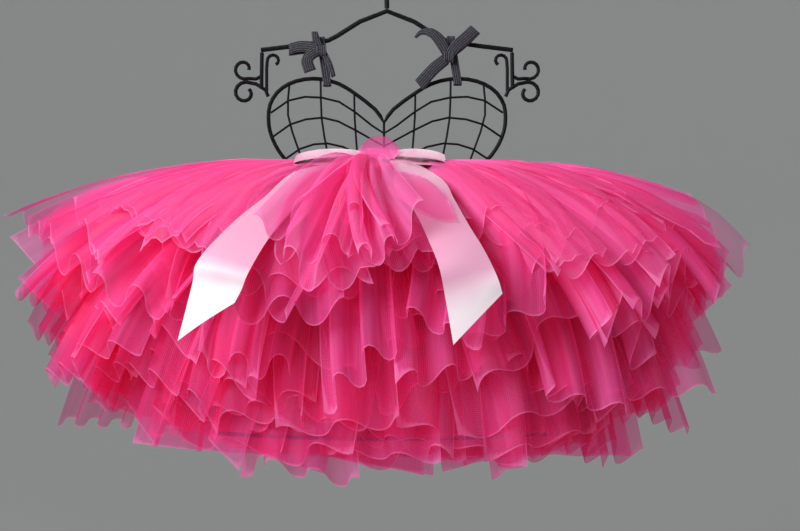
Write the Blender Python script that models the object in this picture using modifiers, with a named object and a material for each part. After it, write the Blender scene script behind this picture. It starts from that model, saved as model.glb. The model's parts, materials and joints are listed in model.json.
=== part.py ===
"""A child's tulle tutu on a wire dress-form hanger, as one solid for each piece.

Metres, +Z up, the front towards -Y. The origin is where the hanger's hook rests on its peg,
so everything hangs below it. Sizes in this file are millimetres and MM turns them into metres.
"""

import math
from collections import namedtuple

import bmesh
import bpy
from mathutils import Vector

MM = 0.001
GAP = 0.3  # between pieces that touch

# ---------------------------------------------------------------- driving sizes
PEG_RADIUS = 14.0  # the hook's inner radius
HOOK_WIRE = 2.4  # radii of the three wires
RIM_WIRE = 2.2
GRID_WIRE = 1.2
APEX_Z = -76.0  # where the stem meets the shoulder bar
WAIST_Z = -229.0  # top edge of the tutu's waistband
FRAME_WAIST_Z = -250.0  # narrowest place of the wire form
FRAME_HEM_Z = -498.0  # lowest rail of the wire form
FRAME_HEM_HALF = 172.0
FRAME_SAG = 6.0  # how far the lowest rail bows down between its ends
RAIL_SPANS = 12
HEM_CURLS = (26, 76, 124)  # how far the curls on the lowest rail stand from its middle
HEM_CURL_SWEEP = 290  # degrees that each winds through
HEM_CURL_OUTER = 9.0
HEM_CURL_INNER = 4.0
HEM_CURL_WIRE = 1.3 * GRID_WIRE
FLARE_WIRE = 0.9 * RIM_WIRE
IN_FRONT = 1.3 * GRID_WIRE  # how far the grid's rows stand before its posts

CLOTH = 1.2  # wall of a tulle tier
RIBBON = 1.0  # wall of a satin ribbon
BAND_HEIGHT = 24.0
BAND_WALL = 2.0
BAND_SIDE = 105.0  # half width of the waistband
BAND_FRONT = 20.0  # how far its front and back stand off the wire form
BAND_BACK = 8.0
BAND_COLUMNS = 40

# Points of the wire form's right half: x, and z below the origin.
Bend = namedtuple("Bend", "x z")
BODICE_RIM = [
    Bend(0, -187.5),
    Bend(9, -174.5),
    Bend(30, -158.5),
    Bend(46, -149),
    Bend(64, -144.2),
    Bend(82, -144.4),
    Bend(98, -149.2),
    Bend(110, -158),
    Bend(117, -170),
    Bend(118.5, -183),
    Bend(117, -196),
    Bend(112, -209),
    Bend(105, -220),
    Bend(97, -230),
    Bend(88, FRAME_WAIST_Z),
]
GRID_ROWS = [
    [Bend(0, -198.5), Bend(12, -191), Bend(30, -177), Bend(46, -167), Bend(64, -162.8),
     Bend(81, -162), Bend(98, -165.8), Bend(116, -178)],
    [Bend(0, -211.5), Bend(28, -196), Bend(47, -186.5), Bend(63, -182.8), Bend(80, -184.5),
     Bend(96, -189.5), Bend(114, -202)],
    [Bend(0, -228), Bend(27, -219), Bend(42, -212), Bend(58, -208.5), Bend(72, -209.5),
     Bend(86, -214), Bend(101, -224)],
]
GRID_POSTS = [
    [Bend(30.5, -159), Bend(30, -184), Bend(27.5, -218), Bend(25, FRAME_WAIST_Z)],
    [Bend(65, -144.5), Bend(64, -183), Bend(58, -218), Bend(52, FRAME_WAIST_Z)],
    [Bend(97, -149), Bend(98.5, -180), Bend(88, -214), Bend(75, FRAME_WAIST_Z)],
]
FRAME_FLARE = [
    Bend(88, FRAME_WAIST_Z - RIM_WIRE - 2.6),
    Bend(93, -290),
    Bend(110, -350),
    Bend(137, -420),
    Bend(FRAME_HEM_HALF, FRAME_HEM_Z),
]
SHOULDER = [Bend(0, APEX_Z), Bend(50, -101), Bend(68, -107.5), Bend(126, -115)]
BODICE_LEAN = 3.0  # how far the form's middle post stands to the left of its edges' middle
BODICE_HALF = 118.0  # half the bodice's width, where that lean has faded out

# The iron below each end of the shoulder bar: its post, a small curl inside the post and two
# scrolls outside it. A scroll starts with the points that lead to it from the post.
Curl = namedtuple("Curl", "x z start end outer inner steps")
POST_FOOT = Bend(125.5, -152.5)
SMALL_CURL = Curl(113.5, -125.7, -10, 240, 6.4, 4.6, 8)
SMALL_CURL_STEM = [Bend(120.3, -133.7), Bend(120.3, -156)]
LOWER_START = [Bend(118.7, -161.5), Bend(121.5, -155), Bend(131, -149)]
LOWER_SCROLL = Curl(142, -158, 95, -225, 11.0, 5.5, 12)
UPPER_START = [Bend(125, -141), Bend(131, -144)]
UPPER_SCROLL = Curl(143, -134, -115, 190, 10.5, 5.0, 12)
SMALL_CURL_WIRE = 0.85 * RIM_WIRE
LOWER_SCROLL_WIRE = 0.95 * RIM_WIRE
UPPER_SCROLL_WIRE = 0.9 * RIM_WIRE

# Ribbon tails, as stations from the knot to the cut end. Each edge has its angle round the
# waist in degrees and its share of the way down the outer tier; past 1 it hangs free.
Station = namedtuple("Station", "left_turn left_share right_turn right_share")
TAIL_LEFT = [
    Station(-12.5, 0.02, -9, 0.09),
    Station(-20, 0.08, -12, 0.24),
    Station(-25, 0.30, -14, 0.47),
    Station(-22.5, 0.58, -15.5, 0.70),
    Station(-24, 0.78, -16.8, 0.87),
    Station(-25.5, 0.99, -18, 1.02),
    Station(-26.3, 1.07, -19, 1.07),
    Station(-28.5, 1.23, -20, 1.11),
]
TAIL_RIGHT = [
    Station(1.5, 0.09, 1.6, 0.02),
    Station(2.5, 0.26, 11, 0.12),
    Station(2, 0.51, 13.5, 0.40),
    Station(5, 0.68, 13, 0.59),
    Station(6.5, 0.86, 13.5, 0.78),
    Station(7.5, 1.0, 14.5, 0.92),
    Station(8.4, 1.09, 15.7, 1.03),
    Station(9.5, 1.22, 16.5, 1.08),
]
CLEAR_OF_HEM = 10.0  # how far a tail stands off the ragged hem it falls over
HANG = 300.0  # length of tail that one share past the hem stands for

KNOT = Vector((-9, -48, -218.8))
KNOT_LENGTH = 20.0
KNOT_DEPTH = 6.0
KNOT_HEIGHT = 8.0
KNOT_PINCH = 0.86  # its waist, as a share of its ends
KNOT_SIDES = 12
LOOP_DROP = 3.6  # the satin loops start this far below the knot's middle
LOOP_TUCK = 6.0  # and their back edge lies this far behind it
LOOP_SPREAD = 0.3  # share of a loop's half width by which it stands further forward
LOOP_SLANT = 0.2  # how steeply a loop's width leans down towards the front
LEFT_LOOP_REACH = 1.0  # the right loop is pulled shorter than the left one
RIGHT_LOOP_REACH = 0.8
# Closed paths of the bow loops and of the tulle loops: along and up from where they start,
# and half their width there.
Turn = namedtuple("Turn", "along up half")
SATIN_LOOP = [
    Turn(0, -1.6, 6), Turn(14, -2.4, 13), Turn(32, -2.4, 20), Turn(50, -2.0, 20),
    Turn(63, -0.6, 19), Turn(68, 2.0, 18), Turn(62, 5.0, 19), Turn(46, 6.4, 20),
    Turn(28, 6.0, 20), Turn(12, 3.8, 13), Turn(0, 1.6, 6),
]
TULLE_LOOP = [
    Turn(0, -3.0, 8), Turn(9, -3.6, 12), Turn(17, -3.0, 18), Turn(23, -1.5, 16),
    Turn(25, 0.0, 10), Turn(23, 1.5, 16), Turn(17, 3.0, 18), Turn(9, 3.6, 12), Turn(0, 3.0, 8),
]
TULLE_LOOP_ROOT = KNOT + Vector((2, -13.5, -9.5))
TULLE_LOOP_BOW = 1.5  # how far its edges droop below its middle
TULLE_LOOP_LINES = (-1.0, -0.4, 0.4, 1.0)  # its lines, across its width
# The loop of tulle that falls over the front: share of the way down the outer tier, height
# over it and half its width.
Fall = namedtuple("Fall", "share up half")
TULLE_FALL = [
    Fall(0.13, 2.0, 9), Fall(0.3, 2.0, 16), Fall(0.46, 3.0, 20), Fall(0.58, 5.0, 21),
    Fall(0.63, 10.0, 20), Fall(0.6, 17.0, 20), Fall(0.47, 21.0, 20), Fall(0.3, 17.0, 15),
    Fall(0.16, 8.0, 9), Fall(0.12, 4.0, 8),
]
FALL_TURN = -4.5
FALL_BOW = 0.12

# Narrow ribbons that tie the form to its shoulder bar.
STRAP_WIDTH = 8.0
STRAP_DEPTH = 3.4
ROUND_BAR = [(-1.0, 0.0), (-0.8, 3.2), (0.0, 4.8), (0.8, 3.2), (1.0, 0.0)]  # shares of it, and up
TIE_KNOT = Vector((5.2, 3.0, 6.2))  # half sizes of a tied ribbon's knot
Tie = namedtuple("Tie", "x y z half_x half_z")
LEFT_TIES = {
    "loop": [
        Tie(-66, -8.8, -117, 0, 4), Tie(-74, -10, -114, 0, 5.5), Tie(-86, -10, -113, 0, 5.5),
        Tie(-95, -9.6, -115, 0, 5.5), Tie(-97.4, -7.9, -116, 0, 5.5), Tie(-95, -6.2, -116, 0, 5.5),
        Tie(-84, -6, -114.5, 0, 5.5), Tie(-74, -6, -115, 0, 5), Tie(-66, -6.2, -117, 0, 4),
    ],
    "upper": [Tie(-66, -8.2, -116, 4, 0), Tie(-70, -9.4, -107, 4, 0), Tie(-72, -9, -98, 3, 0)],
    "lower": [
        Tie(-67, -8.4, -117, 0, 5), Tie(-75, -11.4, -121, -3, 5), Tie(-79, -12.4, -128, -6, 1),
        Tie(-76, -11.4, -138, -5.8, -2),
    ],
    "thin": [Tie(-64, -7, -117, 3, 1), Tie(-57, -9, -130, 2.4, 1), Tie(-53, -8, -143, 2, 1)],
}
RIGHT_TIES = {
    "loop": [
        Tie(61, -8.8, -122, 3, -3), Tie(70, -10, -112, 4.5, -4), Tie(79, -11, -104, 4.5, -4),
        Tie(86, -10, -97.5, 4.5, -4), Tie(88, -8.6, -96, 4.5, -4), Tie(85, -7.2, -99, 4.5, -4),
        Tie(78, -6.4, -106, 4.5, -4), Tie(70, -6, -113, 4.5, -4), Tie(61, -6.2, -122, 3, -3),
    ],
    "upper": [
        Tie(60, -8, -121, 4, 2), Tie(54, -10, -109, 5, 3), Tie(45, -11, -100, 2.5, 4),
        Tie(35, -10.4, -98.5, 0, 3), Tie(28, -9.4, -104, -1, 1),
    ],
    "lower": [Tie(59, -8.4, -125, -3, 5), Tie(46, -11.4, -136, -3, 5.6),
              Tie(32, -12.4, -152, -4, 5.2)],
}

# One row for each tier of tulle, from the outermost, which stands out most, to the innermost.
# reach and drop are where the hem ends, from the waist's centre and below the waist: at the
# front, and at the sides, where it reaches a little further on the left than on the right.
# fold is the depth of its ruffles.
Tier = namedtuple("Tier", "front_reach front_drop left_reach right_reach side_drop fold")
TIERS = [
    Tier(216, 109, 368, 346, 66, 8.0),
    Tier(206, 149, 344, 338, 134, 8.0),
    Tier(191, 187, 320, 317, 188, 8.0),
    Tier(171, 225, 284, 290, 234, 8.0),
    Tier(146, 266, 246, 252, 266, 8.0),
    Tier(112, 302, 206, 208, 290, 7.0),
]
# The middle of a tier's curve, as shares of its run outward and of its fall.
FRONT_RUN, SIDE_RUN, BACK_RUN = 0.74, 0.55, 0.5
FRONT_FALL, SIDE_FALL, BACK_FALL = 0.2, 0.12, 0.5
BACK_DROP = 300.0  # every tier hangs straight down this far at the middle of the back
TIER_STEP = 3.0  # between tiers where they are gathered on the waistband
WAIST_STEP = 3.4  # each tier starts this much lower than the one outside it
BACK_STEP = 3.6  # between tiers where the wall presses them flat
BACK_INNER = 12.0  # the innermost tier's back, from the wire form
BACK_ANGLE = 22.0  # degrees past the side over which a tier reaches its flat back
FRONT_WAVE = 40.0  # length of one ruffle wave along the hem
BACK_WAVE = 90.0
COLUMNS_A_WAVE = 4
HEM_STEPS = 720  # short pieces that a hem is measured in
TIER_ROWS = (0.0, 0.3, 0.65, 1.0)  # shares of the way from waist to hem
GATHER = 0.6  # depth of the gathers on the waistband
BACK_FOLD = 0.7  # depth of the folds that are pressed flat
FOLD_GROWTH = 1.4  # power of the share of the way down with which the ruffles deepen
UNEVEN = 0.3  # how much deeper or shallower than the mean one ruffle is
SIDE_CALM = 0.5  # how much shallower the ruffles are at the sides, where tiers lie close
SIDE_CALM_WIDTH = 0.3  # radians
RAGGED = [(0.035, 5, 1), (0.03, 13, 2)]  # uneven hem: share of the length, waves, shift a tier


# ---------------------------------------------------------------- general tools
def blend(start, end, share):
    return start + (end - start) * share


def ease(share):
    share = min(max(share, 0.0), 1.0)
    return share * share * (3 - 2 * share)


def material(name, colour, roughness, metallic=0.0):
    made = bpy.data.materials.new(name)
    made.use_nodes = True
    shader = made.node_tree.nodes["Principled BSDF"]
    shader.inputs["Base Color"].default_value = (*colour, 1.0)
    shader.inputs["Roughness"].default_value = roughness
    shader.inputs["Metallic"].default_value = metallic
    made.diffuse_color = (*colour, 1.0)
    return made


def smooth(points, spans):
    """Points of a Catmull-Rom curve through the given ones, with spans pieces between two."""
    ends = [2 * points[0] - points[1], *points, 2 * points[-1] - points[-2]]
    found = []
    for before, start, end, after in zip(ends, ends[1:], ends[2:], ends[3:]):
        for step in range(spans):
            t = step / spans
            found.append(
                0.5
                * (
                    2 * start
                    + (end - before) * t
                    + (2 * before - 5 * start + 4 * end - after) * t**2
                    + (3 * start - before - 3 * end + after) * t**3
                )
            )
    return [*found, points[-1].copy()]


def flat(bends, side=1, y=0.0, lean=0.0):
    """Points in the wire form's plane from a table of bends, on the right (1) or left (-1)."""
    return [
        Vector((side * bend.x - lean * max(0.0, 1 - bend.x / BODICE_HALF), y, bend.z))
        for bend in bends
    ]


def both_sides(bends, y=0.0, lean=0.0):
    """The bends mirrored into one line from the left end to the right end."""
    return [*reversed(flat(bends, -1, y, lean)), *flat(bends, 1, y, lean)[1:]]


def wire(name, points, radius, finish, roundness=1, closed=False):
    """A round wire along points: a curve object with a bevel and filled caps."""
    curve = bpy.data.curves.new(name, "CURVE")
    curve.dimensions = "3D"
    curve.bevel_depth = radius * MM
    curve.bevel_resolution = roundness
    curve.use_fill_caps = not closed
    line = curve.splines.new("POLY")
    line.points.add(len(points) - 1)
    for place, point in zip(line.points, points):
        place.co = (*(point * MM), 1.0)
    line.use_cyclic_u = closed
    curve.materials.append(finish)
    made = bpy.data.objects.new(name, curve)
    parts.objects.link(made)
    return made


def as_mesh(obj):
    """The curve object as a mesh object with its caps welded on."""
    bpy.context.view_layer.update()
    seen = obj.evaluated_get(bpy.context.evaluated_depsgraph_get())
    mesh = bpy.data.meshes.new_from_object(seen)
    shape = bmesh.new()
    shape.from_mesh(mesh)
    bmesh.ops.remove_doubles(shape, verts=shape.verts, dist=0.02 * MM)
    shape.to_mesh(mesh)
    shape.free()
    name = obj.name
    made = bpy.data.objects.new(name + "_mesh", mesh)
    made.matrix_world = obj.matrix_world
    parts.objects.link(made)
    bpy.data.objects.remove(obj)
    made.name = name
    return made


def weld(name, wires):
    """The wires joined into one solid by Boolean unions, as a welded frame is."""
    meshes = [as_mesh(obj) for obj in wires]
    base = meshes[0]
    for other in meshes[1:]:
        union = base.modifiers.new("weld", "BOOLEAN")
        union.operation = "UNION"
        union.solver = "EXACT"
        union.use_self = True
        union.object = other
        other.hide_render = True
        other.display_type = "WIRE"
        parts.objects.unlink(other)
        helpers.objects.link(other)
    base.name = name
    return base


def cloth(name, rows, thickness, finish, closed=False):
    """A wall of cloth: an open surface through rows of points, made thick by Solidify."""
    mesh = bpy.data.meshes.new(name)
    shape = bmesh.new()
    grid = [[shape.verts.new(point * MM) for point in row] for row in rows]
    for upper, lower in zip(grid, grid[1:]):
        pairs = list(zip(upper, lower))
        if closed:
            pairs.append(pairs[0])
        for (a, b), (c, d) in zip(pairs, pairs[1:]):
            shape.faces.new((a, b, d, c))
    shape.to_mesh(mesh)
    shape.free()
    mesh.shade_smooth()
    mesh.materials.append(finish)
    made = bpy.data.objects.new(name, mesh)
    parts.objects.link(made)
    wall = made.modifiers.new("wall", "SOLIDIFY")
    wall.thickness = thickness * MM
    wall.offset = 0.0
    wall.use_even_offset = True
    return made


# ---------------------------------------------------------------- the hanger
def arc(centre, radius, start, end, steps):
    """Points of an arc in the XZ plane, from one angle to another in degrees."""
    turn = [math.radians(start + (end - start) * i / steps) for i in range(steps + 1)]
    return [centre + radius * Vector((math.cos(t), 0, math.sin(t))) for t in turn]


def spiral(curl, side=1):
    """Points of a curl in the XZ plane that winds in from its outer radius to its inner one."""
    found = []
    for i in range(curl.steps + 1):
        share = i / curl.steps
        turn = math.radians(blend(curl.start, curl.end, share))
        radius = blend(curl.outer, curl.inner, share)
        x = curl.x + radius * math.cos(turn)
        found.append(Vector((side * x, 0, curl.z + radius * math.sin(turn))))
    return found


def hook():
    bend = arc(Vector((0, 0, -PEG_RADIUS)), PEG_RADIUS + HOOK_WIRE, 205, -35, 14)
    stem_end = Vector((0, 0, APEX_Z + HOOK_WIRE + GAP))
    neck = smooth([bend[-1], Vector((4, 0, -40)), Vector((0, 0, -56)), stem_end], 3)
    wire("hanger_hook", bend + neck[1:], HOOK_WIRE, IRON, roundness=2)


def shoulder_bar():
    wire("shoulder_bar", smooth(both_sides(SHOULDER), 2), HOOK_WIRE, IRON, roundness=2)


def shoulder_scroll(name, side):
    """The post below the bar's end with its small curl, and the double scroll outside it."""
    top = Bend(POST_FOOT.x - 0.5, SHOULDER[-1].z - HOOK_WIRE - GAP)
    post = flat([top, POST_FOOT], side)
    inner = [*reversed(spiral(SMALL_CURL, side)), *flat(SMALL_CURL_STEM, side)]
    lower = flat(LOWER_START, side) + spiral(LOWER_SCROLL, side)
    upper = flat(UPPER_START, side) + spiral(UPPER_SCROLL, side)
    pieces = [
        wire(name, post, RIM_WIRE, IRON),
        wire(name + "_inner", inner, SMALL_CURL_WIRE, IRON),
        wire(name + "_lower", lower, LOWER_SCROLL_WIRE, IRON),
        wire(name + "_upper", upper, UPPER_SCROLL_WIRE, IRON),
    ]
    weld(name, pieces)


def bodice():
    """The sweetheart rim and the grid welded inside it."""
    right = smooth(flat(BODICE_RIM, 1, 0.0, BODICE_LEAN), 2)
    left = smooth(flat(BODICE_RIM, -1, 0.0, BODICE_LEAN), 2)
    rim = right + [Vector((0, 0, FRAME_WAIST_Z)), *reversed(left[1:])]
    pieces = [wire("bodice_frame", rim, RIM_WIRE, IRON, closed=True)]
    for number, row in enumerate(GRID_ROWS):
        line = both_sides(row, -IN_FRONT, BODICE_LEAN)
        pieces.append(wire(f"grid_row_{number}", line, GRID_WIRE, IRON))
    for number, post in enumerate(GRID_POSTS):
        for side in (-1, 1):
            line = smooth(flat(post, side, 0.0, BODICE_LEAN), 2)
            pieces.append(wire(f"grid_post_{number}_{side}", line, GRID_WIRE, IRON))
    top = flat(BODICE_RIM[:1], 1, 0.0, BODICE_LEAN)[0]
    pieces.append(
        wire("grid_post_middle", [top, Vector((top.x, 0, FRAME_WAIST_Z))], GRID_WIRE, IRON)
    )
    weld("bodice_frame", pieces)


def rail_z(x):
    """The height of the lowest rail, which bows down between its ends."""
    return FRAME_HEM_Z - FRAME_SAG * (1 - (x / FRAME_HEM_HALF) ** 2)


def skirt_frame():
    """The flared lower half inside the tutu: two sides, the hem rail and its curls."""
    places = [FRAME_HEM_HALF * (2 * i / RAIL_SPANS - 1) for i in range(RAIL_SPANS + 1)]
    rail = [Vector((x, 0, rail_z(x))) for x in places]
    pieces = [wire("skirt_frame", rail, RIM_WIRE, IRON)]
    for side in (-1, 1):
        line = smooth(flat(FRAME_FLARE, side), 2)
        pieces.append(wire(f"flare_{side}", line, FLARE_WIRE, IRON))
        for number, x in enumerate(HEM_CURLS):
            bottom = -90
            curl = Curl(side * x, rail_z(x) + HEM_CURL_OUTER, bottom, bottom - side * HEM_CURL_SWEEP,
                        HEM_CURL_OUTER, HEM_CURL_INNER, 8)
            pieces.append(wire(f"hem_curl_{side}_{number}", spiral(curl), HEM_CURL_WIRE, IRON))
    weld("skirt_frame", pieces)


# ---------------------------------------------------------------- the tutu
def wrapped(turn):
    return (turn + math.pi) % (2 * math.pi) - math.pi


def past_side(turn):
    """How far an angle has passed the side: 0 at the side, 1 at the middle of the back."""
    return max(0.0, (abs(turn) - math.pi / 2) / (math.pi / 2))


def waist_ring(out, turn):
    """A point of the waist's flat-sided oval, out from the waistband: its X and its Y."""
    radius = (BAND_FRONT + BAND_BACK) / 2 + out
    straight = BAND_SIDE - (BAND_FRONT + BAND_BACK) / 2
    corner = math.pi / 2 * radius
    behind = abs(turn) > math.pi / 2
    along = (math.pi - abs(turn) if behind else abs(turn)) / (math.pi / 2) * (straight + corner)
    bend = max(0.0, along - straight) / radius
    x = min(along, straight) + radius * math.sin(bend)
    y = radius * math.cos(bend) * (1 if behind else -1)
    return math.copysign(x, turn), y + (BAND_BACK - BAND_FRONT) / 2


def waist_point(order, turn):
    """Where a tier starts. turn is the angle round the waist: 0 at the front, pi at the back."""
    out = CLOTH + GATHER + 1.0 + TIER_STEP * (len(TIERS) - 1 - order)
    return Vector((*waist_ring(out, turn), WAIST_Z - WAIST_STEP * order))


def back_layer(order):
    return BACK_INNER + BACK_STEP * (len(TIERS) - 1 - order)


def hem_point(order, turn):
    """Where a tier ends: an ellipse round the front and a flat fan across the back."""
    tier = TIERS[order]
    side_reach = tier.right_reach if turn > 0 else tier.left_reach
    if abs(turn) <= math.pi / 2:
        share = math.cos(turn)
        drop = blend(tier.side_drop, tier.front_drop, share)
        across = side_reach * math.sin(turn)
        return Vector((across, -tier.front_reach * share, WAIST_Z - drop))
    share = past_side(turn)
    out = side_reach - abs(waist_point(order, math.pi / 2).x)
    fan = math.atan2(out, tier.side_drop) * (1 - share)
    length = blend(math.hypot(out, tier.side_drop), BACK_DROP, share)
    start = waist_point(order, turn)
    away = back_layer(order) * ease((abs(turn) - math.pi / 2) / math.radians(BACK_ANGLE))
    across = start.x + math.copysign(length * math.sin(fan), turn)
    return Vector((across, away, WAIST_Z - length * math.cos(fan)))


def tier_point(order, turn, share):
    """A point of the smooth tier, before its folds, share of the way from waist to hem."""
    start, end = waist_point(order, turn), hem_point(order, turn)
    front = max(0.0, math.cos(turn))
    behind = ease(past_side(turn) * 4)
    run = blend(blend(SIDE_RUN, FRONT_RUN, front), BACK_RUN, behind)
    fall = blend(blend(SIDE_FALL, FRONT_FALL, front), BACK_FALL, behind)
    middle = Vector((blend(start.x, end.x, run), blend(start.y, end.y, run),
                     blend(start.z, end.z, fall)))
    if behind:
        middle.y = blend(middle.y, end.y, behind)
    return (1 - share) ** 2 * start + 2 * share * (1 - share) * middle + share**2 * end


def outward(order, turn, share):
    """The direction that faces away from the inside of the skirt."""
    step = 0.004
    along = tier_point(order, turn + step, share) - tier_point(order, turn - step, share)
    down = tier_point(order, turn, share + step) - tier_point(order, turn, share - step)
    return down.cross(along).normalized()


def wave_turns(order):
    """Angles of a tier's columns, evenly spaced along its hem, and how many to a wave."""
    turns = [-math.pi + 2 * math.pi * (i + 0.5) / HEM_STEPS for i in range(HEM_STEPS + 1)]
    waves = [0.0]
    for here, there in zip(turns, turns[1:]):
        middle = (here + there) / 2
        length = blend(FRONT_WAVE, BACK_WAVE, ease(past_side(middle) * 3))
        run = hem_point(order, wrapped(there)) - hem_point(order, wrapped(here))
        waves.append(waves[-1] + run.length / length)
    count = round(waves[-1]) * COLUMNS_A_WAVE
    found, at = [], 0
    for column in range(count):
        target = column / count * waves[-1]
        while waves[at + 1] < target:
            at += 1
        share = (target - waves[at]) / (waves[at + 1] - waves[at])
        found.append(wrapped(blend(turns[at], turns[at + 1], share)))
    return found


def ruffle_depth(order, column, turn, share):
    """How far a tier's ruffle swings in and out at one of its columns."""
    uneven = 1 + UNEVEN * math.sin(1.7 * column + order)
    from_side = (abs(turn) - math.pi / 2) / SIDE_CALM_WIDTH
    calm = 1 - SIDE_CALM * math.exp(-from_side * from_side)
    deep = blend(TIERS[order].fold * uneven * calm, BACK_FOLD, ease(past_side(turn) * 5))
    return blend(GATHER, deep, share**FOLD_GROWTH)


def tier_wall(order):
    """One gathered tier of tulle, a closed ring of ruffles from the waistband to its hem."""
    turns = wave_turns(order)
    rows = []
    for share in TIER_ROWS:
        row = []
        for column, turn in enumerate(turns):
            wave = math.sin(2 * math.pi * column / COLUMNS_A_WAVE + 0.9 * order)
            ragged = sum(size * math.sin(waves * turn + shift * order)
                         for size, waves, shift in RAGGED)
            reach = share * (1 + ragged * share)
            swing = wave * ruffle_depth(order, column, turn, share)
            out = outward(order, turn, min(reach, 0.99))
            row.append(tier_point(order, turn, reach) + swing * out)
        rows.append(row)
    cloth(f"tulle_tier_{order + 1}", rows, CLOTH, TULLE[order], closed=True)


def waistband():
    """The elastic that the tulle is knotted on."""
    rows = []
    for z in (WAIST_Z, WAIST_Z - BAND_HEIGHT):
        row = []
        for column in range(BAND_COLUMNS):
            turn = wrapped(2 * math.pi * (column + 0.5) / BAND_COLUMNS)
            row.append(Vector((*waist_ring(0.0, turn), z)))
        rows.append(row)
    cloth("waistband", rows, BAND_WALL, ELASTIC, closed=True)


def drape(turn, share):
    """A point on the outer tier where a ribbon rests clear of the ruffles, or hangs past it."""
    on_tier = min(share, 1.0)
    ruffle = blend(GATHER, (1 + UNEVEN) * TIERS[0].fold, on_tier**FOLD_GROWTH)
    lift = (CLOTH + RIBBON) / 2 + 2 * GAP + ruffle
    resting = tier_point(0, turn, on_tier) + lift * outward(0, turn, min(on_tier, 0.99))
    resting.y -= CLEAR_OF_HEM * ease((share - 0.8) / 0.2)
    return resting - Vector((0, 0, max(0.0, share - 1) * HANG))


def tail(name, stations):
    """One tail of the satin bow, from beside the knot to its slanting cut."""
    edges = []
    for across in (0.0, 0.5, 1.0):
        edge = [
            drape(
                math.radians(blend(s.left_turn, s.right_turn, across)),
                blend(s.left_share, s.right_share, across),
            )
            for s in stations
        ]
        edges.append(smooth(edge, 2))
    cloth(name, edges, RIBBON, SATIN)


def satin_loop(name, side, reach):
    """A closed loop of ribbon beside the knot, its width lying along the skirt."""
    root = KNOT + Vector((side * (KNOT_LENGTH / 2 + GAP + RIBBON), 0, -LOOP_DROP))
    rows = []
    for across in (-1.0, 0.0, 1.0):
        row = []
        for turn in SATIN_LOOP:
            back = turn.half * (1 - across - LOOP_SPREAD) - LOOP_TUCK
            up = turn.up - LOOP_SLANT * back
            row.append(root + Vector((side * turn.along * reach, -back, up)))
        rows.append(row)
    cloth(name, rows, RIBBON, SATIN, closed=True)


def bow_knot():
    """The short band of ribbon that holds the bow together."""
    rows = []
    for x in (-0.5, 0.0, 0.5):
        pinch = 1 if x else KNOT_PINCH
        row = []
        for side in range(KNOT_SIDES):
            turn = 2 * math.pi * side / KNOT_SIDES
            around = (KNOT_DEPTH * pinch * math.cos(turn), KNOT_HEIGHT * pinch * math.sin(turn))
            row.append(KNOT + Vector((x * KNOT_LENGTH, *around)))
        rows.append(row)
    cloth("bow_knot", rows, RIBBON, SATIN, closed=True)


def upper_tulle_loop():
    """The folded end of tulle that stands up round behind the front of the bow."""
    rows = []
    for across in TULLE_LOOP_LINES:
        droop = TULLE_LOOP_BOW * abs(across)
        rows.append([
            TULLE_LOOP_ROOT + Vector((across * turn.half, turn.up, turn.along - droop))
            for turn in TULLE_LOOP
        ])
    cloth("tulle_loop_upper", rows, CLOTH, TULLE[0], closed=True)


def falling_tulle_loop():
    """The folded end of tulle that falls over the front below the knot."""
    turn = math.radians(FALL_TURN)
    rows = []
    for across in (-1.0, 0.0, 1.0):
        row = []
        for fall in TULLE_FALL:
            place = drape(turn, fall.share) + fall.up * outward(0, turn, fall.share)
            droop = FALL_BOW * abs(across) * fall.up
            row.append(place + Vector((across * fall.half, 0, -droop)))
        rows.append(row)
    cloth("tulle_loop_falling", rows, CLOTH, TULLE[0], closed=True)


def strap(name, top, bottom):
    """A narrow ribbon passed round the shoulder bar and the rim of the form."""
    path = [Vector((top.x, STRAP_DEPTH * y, top.z + z)) for y, z in ROUND_BAR]
    path += [Vector((bottom.x, -STRAP_DEPTH * y, bottom.z - z)) for y, z in ROUND_BAR]
    half = Vector((STRAP_WIDTH / 2, 0, 0))
    cloth(name, [[p - half for p in path], [p + half for p in path]], RIBBON, GROSGRAIN, True)


def tie(name, centre, pieces):
    """A knotted ribbon in front of a strap: its knot, loop and loose ends joined into one."""
    made = []
    for label, ties in pieces.items():
        ring = label == "loop"
        points = [Vector((t.x, t.y, t.z)) for t in ties]
        halves = [Vector((t.half_x, 0, t.half_z)) for t in ties]
        rows = [
            [p - h for p, h in zip(points, halves)],
            [p + h for p, h in zip(points, halves)],
        ]
        rows = [row if ring else smooth(row, 2) for row in rows]
        made.append(cloth(f"{name}_{label}", rows, RIBBON, GROSGRAIN, closed=ring))
    bpy.ops.mesh.primitive_uv_sphere_add(segments=8, ring_count=6, location=centre * MM)
    knot = bpy.context.object
    knot.scale = TIE_KNOT * MM
    knot.data.materials.append(GROSGRAIN)
    for holder in list(knot.users_collection):
        holder.objects.unlink(knot)
    parts.objects.link(knot)
    knot.name = name
    weld(name, [knot, *made])


# ---------------------------------------------------------------- build
for leftover in list(bpy.data.objects):
    bpy.data.objects.remove(leftover)
parts = bpy.data.collections.new("ballet_tutu")
helpers = bpy.data.collections.new("helpers")
for collection in (parts, helpers):
    bpy.context.scene.collection.children.link(collection)
helpers.hide_render = True

IRON = material("black_iron", (0.02, 0.02, 0.025), 0.45, 0.6)
ELASTIC = material("waistband_elastic", (0.9, 0.25, 0.5), 0.8)
SATIN = material("satin_ribbon", (0.95, 0.62, 0.74), 0.3)
GROSGRAIN = material("striped_ribbon", (0.2, 0.2, 0.23), 0.6)
TULLE = [
    material(f"tulle_{number + 1}", (0.93, 0.2 - 0.02 * number, 0.48 - 0.03 * number), 0.7)
    for number in range(len(TIERS))
]

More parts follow.
